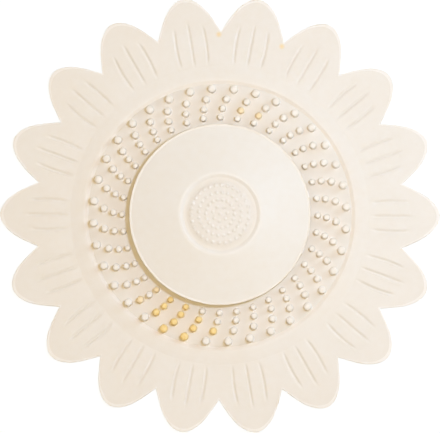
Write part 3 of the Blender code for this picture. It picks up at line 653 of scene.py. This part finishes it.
def make_button(material):
    """Soft pad whose round dots rise from its own skin."""
    places = [(0.0, 0.0)]
    for i in range(1, PAD_RINGS + 1):
        places += [on_circle(PAD_EDGE * i / PAD_RINGS, angle) for angle in turns(6 * i)]
    places = np.array(places)
    away = np.hypot(places[:, 0], places[:, 1])
    height = PAD_TOP - PAD_FALL * (away / PAD_EDGE) ** PAD_FALL_POWER
    rise = np.zeros(len(places))
    for radius, count, first in DOT_CIRCLES:
        for angle in math.radians(first) + turns(count):
            x, y = on_circle(radius, angle)
            gap = np.hypot(places[:, 0] - x, places[:, 1] - y) / DOT_RADIUS
            rise = np.maximum(rise, DOT_HEIGHT * (1 - np.minimum(gap, 1) ** DOT_POWER))
    shape = Shape()
    shape.add([(x, y, z) for (x, y), z in zip(places, height + rise)], disc_faces(PAD_RINGS))
    shape.lathe(rounded(PAD_PROFILE), 6 * PAD_RINGS, closed=False)
    return shape.build("button_pad", material)


def make_grate(material):
    """Outer ring and guide, joined by the spokes."""
    shape = Shape()
    shape.lathe(rounded(GRATE_PROFILE), steps=180)
    shape.lathe(rounded(GUIDE_PROFILE), steps=72)
    spokes = Shape()
    inner_flare, outer_flare = SPOKE_FLARE_STARTS
    for angle in turns(SPOKES):
        verts = []
        for r in SPOKE_STATIONS:
            flare = SPOKE_FLARE * smooth((inner_flare - r) / SPOKE_FLARE_LENGTH) ** 2
            flare += SPOKE_FLARE * smooth((r - outer_flare) / SPOKE_FLARE_LENGTH) ** 2
            half = SPOKE_HALF_WIDTH + flare
            corners = [(-half, SPOKE_TOP), (half, SPOKE_TOP), (half, SPOKE_BOTTOM), (-half, SPOKE_BOTTOM)]
            section = rounded([(*corner, SPOKE_FILLET) for corner in corners], segments=3)
            verts += [(*turned(r, across, angle), z) for across, z in section]
        spokes.sweep(verts, len(section))
    return unite(shape.build("grate_web", material), spokes.build("grate_spokes", material))


def make_clip(material):
    section = rounded(CLIP_SECTION, segments=2)
    angles = np.radians(np.linspace(*CLIP_ENDS, CLIP_STEPS))
    shape = Shape()
    shape.sweep([(*on_circle(r, angle), z) for angle in angles for r, z in section], len(section))
    return shape.build("clip_ring", material)


# ---------------------------------------------------------------- materials
class Nodes:
    """Adds nodes to the tree of a material or a world."""

    def __init__(self, owner):
        owner.use_nodes = True
        self.owner = owner
        self.tree = owner.node_tree

    def give(self, socket, value):
        """Links an output to a socket, or writes a number, a vector or a colour on it."""
        if isinstance(value, bpy.types.NodeSocket):
            self.tree.links.new(value, socket)
        elif socket.type == "RGBA":
            socket.default_value = (*value, 1.0)
        else:
            socket.default_value = value

    def new(self, kind, inputs=None, **settings):
        """A node with these settings, and these values or outputs on its inputs."""
        node = self.tree.nodes.new(kind)
        for key, value in settings.items():
            setattr(node, key, value)
        for key, value in (inputs or {}).items():
            self.give(node.inputs[key], value)
        return node

    def object_place(self):
        return self.new("ShaderNodeTexCoord").outputs["Object"]

    def length(self, vector):
        return self.new("ShaderNodeVectorMath", {0: vector}, operation="LENGTH").outputs["Value"]

    def ranged(self, value, low, high, to_low=0.0, to_high=1.0):
        """Maps the range low to high to another one, and clamps what lies outside."""
        inputs = {"Value": value, "From Min": low, "From Max": high, "To Min": to_low, "To Max": to_high}
        return self.new("ShaderNodeMapRange", inputs).outputs["Result"]

    def math(self, operation, value, other):
        return self.new("ShaderNodeMath", {0: value, 1: other}, operation=operation).outputs[0]

    def mix(self, factor, first, second, blend="MIX"):
        """Mixes two colours, each a tuple or an output."""
        inputs = {"Factor": factor, 6: first, 7: second}
        return self.new("ShaderNodeMix", inputs, data_type="RGBA", blend_type=blend).outputs[2]

    def mix_shaders(self, factor, first, second):
        inputs = {0: factor, 1: first.outputs[0], 2: second.outputs[0]}
        return self.new("ShaderNodeMixShader", inputs).outputs[0]

    def seen_directly(self):
        """1 for rays of the camera and for those that gloss or glass sends on, and 0 for the rest."""
        path = self.new("ShaderNodeLightPath").outputs
        camera_or_gloss = self.math("MAXIMUM", path["Is Camera Ray"], path["Is Glossy Ray"])
        return self.math("MAXIMUM", camera_or_gloss, path["Is Transmission Ray"])


class Surface(Nodes):
    """The material of a piece, round its Principled shader. Sizes are in millimetres."""

    def __init__(self, name):
        super().__init__(bpy.data.materials.new(name))
        self.shader = self.tree.nodes["Principled BSDF"]
        self.place = self.object_place()
        self.parts = self.new("ShaderNodeSeparateXYZ", {0: self.place}).outputs

    def noise(self, width, detail=3.0, rough=0.5):
        inputs = {"Vector": self.place, "Scale": 1 / (width * MM), "Detail": detail, "Roughness": rough}
        return self.new("ShaderNodeTexNoise", inputs).outputs["Fac"]

    def uneven(self, width, detail, low, high):
        """A value that wanders between low and high."""
        return self.ranged(self.noise(width, detail), *NOISE_SPAN, low, high)

    def bump(self, height, distance, strength=1.0, under=None):
        inputs = {"Height": height, "Distance": distance * MM, "Strength": strength}
        if under is not None:
            inputs["Normal"] = under
        return self.new("ShaderNodeBump", inputs).outputs["Normal"]

    def height(self):
        return self.parts["Z"]

    def from_axis(self):
        """The distance from the upright axis."""
        flat = self.new("ShaderNodeCombineXYZ", {"X": self.parts["X"], "Y": self.parts["Y"]})
        return self.length(flat.outputs[0])

    def over_dish(self):
        """The height, with the fall of the button's top added back."""
        share = self.math("DIVIDE", self.from_axis(), PAD_EDGE * MM)
        fall = self.math("MULTIPLY", self.math("POWER", share, PAD_FALL_POWER), PAD_FALL * MM)
        return self.math("ADD", self.height(), fall)

    def passing(self, measure, low, high):
        """0 where the measure is below low, 1 where it is above high, and even between them."""
        return self.ranged(measure, low * MM, high * MM)

    def finish(self, inputs):
        """Gives the shader its inputs and returns the material."""
        for key, value in inputs.items():
            self.give(self.shader.inputs[key], value)
        return self.owner


def moulded(name, color, roughness, grain, deep=None, rim=None, measure=Surface.height, stains=()):
    """Moulded silicone or plastic: faint mottling, fine spark-eroded grain and slow waves.

    deep is (colour, low, high), painted shade: the colour passes from it to color while the measure goes from
    low to high, in millimetres. rim is another, painted glow, and color passes on to it.
    """
    n = Surface(name)
    measured = measure(n)
    base = color
    if deep is not None:
        tint, low, high = deep
        base = n.mix(n.passing(measured, low, high), tint, base)
    if rim is not None:
        tint, low, high = rim
        base = n.mix(n.passing(measured, low, high), base, tint)
    for x, y in stains:
        inputs = {0: n.place, 1: (x * MM, y * MM, MAT_TOP * MM)}
        away = n.new("ShaderNodeVectorMath", inputs, operation="DISTANCE").outputs["Value"]
        base = n.mix(n.ranged(away, STAIN_CORE * MM, STAIN_REACH * MM, 1.0, 0.0), base, STAIN_COLOR)
    for width, detail, (low, high), tint in MOTTLING:
        base = n.mix(n.ranged(n.noise(width, detail), low, high), base, tint, "MULTIPLY")
    smoothest, roughest = roughness - ROUGHNESS_BELOW, roughness + ROUGHNESS_ABOVE
    waves = n.bump(n.noise(WAVE_WIDTH, detail=1.0), WAVE_HEIGHT, strength=0.5)
    width, height = grain
    return n.finish(
        {
            "Base Color": base,
            "Roughness": n.uneven(width=5.0, detail=4.0, low=smoothest, high=roughest),
            "Normal": n.bump(n.noise(width, rough=0.6), height, under=waves),
            "Specular IOR Level": SPECULAR,
        }
    )


def amber_silicone(name, dark, light, foot):
    """Mottled amber. foot is (colour, low, high): it passes from that colour to amber between two heights."""
    n = Surface(name)
    # The foot's colour is painted shade at the peg's foot.
    tint, low, high = foot
    amber = n.mix(n.ranged(n.noise(width=0.8), low=0.35, high=0.65), dark, light)
    return n.finish(
        {
            "Base Color": n.mix(n.passing(n.height(), low, high), tint, amber),
            "Roughness": n.uneven(width=0.5, detail=3.0, low=0.42, high=0.56),
            "Normal": n.bump(n.noise(width=0.25), distance=0.006),
            "Specular IOR Level": SPECULAR,
        }
    )


def black_rubber():
    n = Surface("black_rubber")
    dust = n.ranged(n.noise(width=0.7, detail=4.0), low=0.45, high=0.75)
    return n.finish(
        {
            "Base Color": n.mix(dust, (0.018, 0.018, 0.019), (0.045, 0.044, 0.043)),
            "Roughness": n.uneven(width=0.4, detail=3.0, low=0.5, high=0.7),
            "Normal": n.bump(n.noise(width=0.12), distance=0.004),
        }
    )


def spring_steel():
    """Steel with fine streaks round the clip."""
    n = Surface("spring_steel")
    inputs = {"Vector": n.place, "Scale": 2600.0, "Distortion": 3.0, "Detail": 3.0}
    streaks = n.new("ShaderNodeTexWave", inputs, wave_type="RINGS", rings_direction="Z").outputs["Fac"]
    return n.finish(
        {
            "Base Color": n.mix(streaks, (0.50, 0.50, 0.51), (0.62, 0.62, 0.61)),
            "Roughness": n.ranged(streaks, low=0.0, high=1.0, to_low=0.24, to_high=0.38),
            "Normal": n.bump(streaks, distance=0.003, strength=0.5),
            "Metallic": 1.0,
        }
    )


# ---------------------------------------------------------------- stage
def make_lamp(name, place, diameter, power, color):
    data = bpy.data.lights.new(name, "AREA")
    data.shape = "DISK"
    data.size = diameter
    data.energy = power
    data.color = color
    lamp = bpy.data.objects.new(name, data)
    lamp.location = place
    lamp.rotation_euler = (Vector((0.0, 0.0, 0.0)) - Vector(place)).to_track_quat("-Z", "Y").to_euler()
    lamp.visible_camera = False
    bpy.context.scene.collection.objects.link(lamp)


def make_world():
    """A dim world that shows white where it is seen directly."""
    world = bpy.data.worlds.new("studio")
    bpy.context.scene.world = world
    n = Nodes(world)
    n.tree.nodes.clear()
    light = n.new("ShaderNodeBackground", {"Color": WORLD_COLOR, "Strength": 1.0})
    white = n.new("ShaderNodeBackground", {"Color": WHITE, "Strength": 1.0})
    n.new("ShaderNodeOutputWorld", {"Surface": n.mix_shaders(n.seen_directly(), light, white)})


def make_floor():
    """A pale floor that the camera sees white round the object, with the object's shadow faint on it."""
    n = Nodes(bpy.data.materials.new("pale_floor"))
    n.tree.nodes.clear()
    matte = n.new("ShaderNodeBsdfDiffuse", {"Color": FLOOR_COLOR})
    shade = n.new("ShaderNodeBsdfDiffuse", {"Color": FLOOR_SHADE})
    glow = n.new("ShaderNodeEmission", {"Strength": FLOOR_GLOW})
    shown = n.new("ShaderNodeAddShader", {0: shade.outputs[0], 1: glow.outputs[0]})
    clear = n.ranged(n.length(n.object_place()), *FLOOR_CLEAR)
    lit = n.math("MULTIPLY", clear, n.seen_directly())
    n.new("ShaderNodeOutputMaterial", {"Surface": n.mix_shaders(lit, matte, shown)})
    mesh = bpy.data.meshes.new("floor")
    corners = [(x * FLOOR_HALF, y * FLOOR_HALF, 0) for x, y in ((-1, -1), (1, -1), (1, 1), (-1, 1))]
    mesh.from_pydata(corners, [], [(0, 1, 2, 3)])
    mesh.materials.append(n.owner)
    floor = bpy.data.objects.new("floor", mesh)
    floor.location.z = FLOOR_Z
    bpy.context.scene.collection.objects.link(floor)


def make_camera():
    """Almost straight down from far away, so that the picture is nearly without perspective."""
    tilt, roll = math.radians(CAMERA_TILT), math.radians(CAMERA_ROLL)
    back = CAMERA_DISTANCE * math.sin(tilt)
    data = bpy.data.cameras.new("camera")
    data.sensor_fit = "HORIZONTAL"
    data.sensor_width = SENSOR_WIDTH
    data.lens = SENSOR_WIDTH * CAMERA_DISTANCE / SEEN_WIDTH
    data.clip_end = CLIP_END
    camera = bpy.data.objects.new("camera", data)
    camera.location = (
        back * math.sin(roll),
        CAMERA_AIM_Y - back * math.cos(roll),
        CAMERA_DISTANCE * math.cos(tilt),
    )
    camera.rotation_euler = (tilt, 0.0, roll)
    bpy.context.scene.collection.objects.link(camera)
    bpy.context.scene.camera = camera


# ---------------------------------------------------------------- build
soft = moulded("cream_silicone", CREAM, ROUGHNESS, SILICONE_GRAIN, stains=STAINS)
# The mat's rim: paler cream as painted glow on the rounded edge.
edge = moulded("cream_edge_painted_glow_silicone", RIM_GLOW_CREAM, ROUGHNESS, SILICONE_GRAIN, stains=STAINS)
# Grooves: the darker cream at their floor is painted shade.
groove = moulded(
    "cream_groove_painted_shade_silicone", CREAM, ROUGHNESS, SILICONE_GRAIN,
    deep=((0.846, 0.777, 0.69), 2.08, 2.24),
)
# Bed and pegs: the darker cream low on the bed and on the pegs' feet is painted shade between the pegs; the
# pegs are paler higher up.
pegs = moulded(
    "cream_peg_painted_shade_silicone", (0.937, 0.865, 0.770), PEG_ROUGHNESS, PEG_GRAIN,
    deep=((0.774, 0.719, 0.647), 2.07, 2.7),
)
# Button pad: the raised dots are painted paler than the pad, as painted highlight on their tops and painted
# shade round them.
pad = moulded(
    "cream_pad_painted_highlight_silicone", (0.93, 0.865, 0.785), PAD_ROUGHNESS, PAD_GRAIN,
    deep=((0.855, 0.785, 0.70), 11.89, 12.07), measure=Surface.over_dish,
)
# Plastic: the darker cream near the axis is painted shade in the groove round the button, and the warmer cream
# past 30 mm is painted glow on the cap's lip.
stiff = moulded(
    "cream_plastic_painted_shade_and_glow", (0.905, 0.847, 0.768), PLASTIC_ROUGHNESS, PLASTIC_GRAIN,
    deep=((0.858, 0.785, 0.693), 12.0, 13.2), rim=((0.915, 0.833, 0.727), 30.0, 30.8),
    measure=Surface.from_axis,
)
# Amber pegs: the darker cream at their feet is painted shade.
amber = amber_silicone(
    "amber_silicone", (0.94, 0.655, 0.245), (0.96, 0.73, 0.335),
    foot=((0.80, 0.70, 0.52), TRAY_TOP, AMBER_FOOT_SHADE_TOP),
)
pale_amber = amber_silicone(
    "pale_amber_silicone", (0.94, 0.715, 0.41), (0.96, 0.785, 0.51),
    foot=((0.79, 0.71, 0.585), TRAY_TOP, AMBER_FOOT_SHADE_TOP),
)
rubber = black_rubber()
steel = spring_steel()

o_ring_profile = []
for angle in turns(O_RING_STEPS):
    across, up = on_circle(O_RING_HALF, angle)
    o_ring_profile.append((O_RING_RADIUS + across, O_RING_Z - up, 0.0))

pieces = [
    (make_mat(soft, groove, edge), "petal_mat", "mat", "soft_cream"),
    (make_pegs(pegs, amber, pale_amber), "peg_ring", "mat", "soft_cream"),
    (make_grate(stiff), "drain_grate", "mat", "stiff_cream"),
    (make_lathe("friction_o_ring", o_ring_profile, rubber, 64), "friction_ring", "mat", "dark_rubber"),
    (make_lathe("stem_pin", STEM_PROFILE, stiff, 64, closed=False), "stem", "stem", "stiff_cream"),
    (make_clip(steel), "stem_clip", "stem", "steel"),
    (make_lathe("cap_shell", CAP_PROFILE, stiff, 192, segments=5, closed=False), "cap", "cap", "stiff_cream"),
    (make_lathe("retainer_ring", RETAINER_PROFILE, stiff, 120), "cap_retainer", "cap", "stiff_cream"),
    (make_lathe("seal_lip", SEAL_PROFILE, soft, 180, segments=6), "seal_ring", "cap", "soft_cream"),
    (make_button(pad), "press_button", "cap", "soft_cream"),
]
for piece, node, body, slot in pieces:
    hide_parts(node)
    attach(piece, body)

make_world()
make_floor()
for lamp in LAMPS:
    make_lamp(*lamp)
make_camera()
bpy.context.scene.view_settings.view_transform = "Standard"
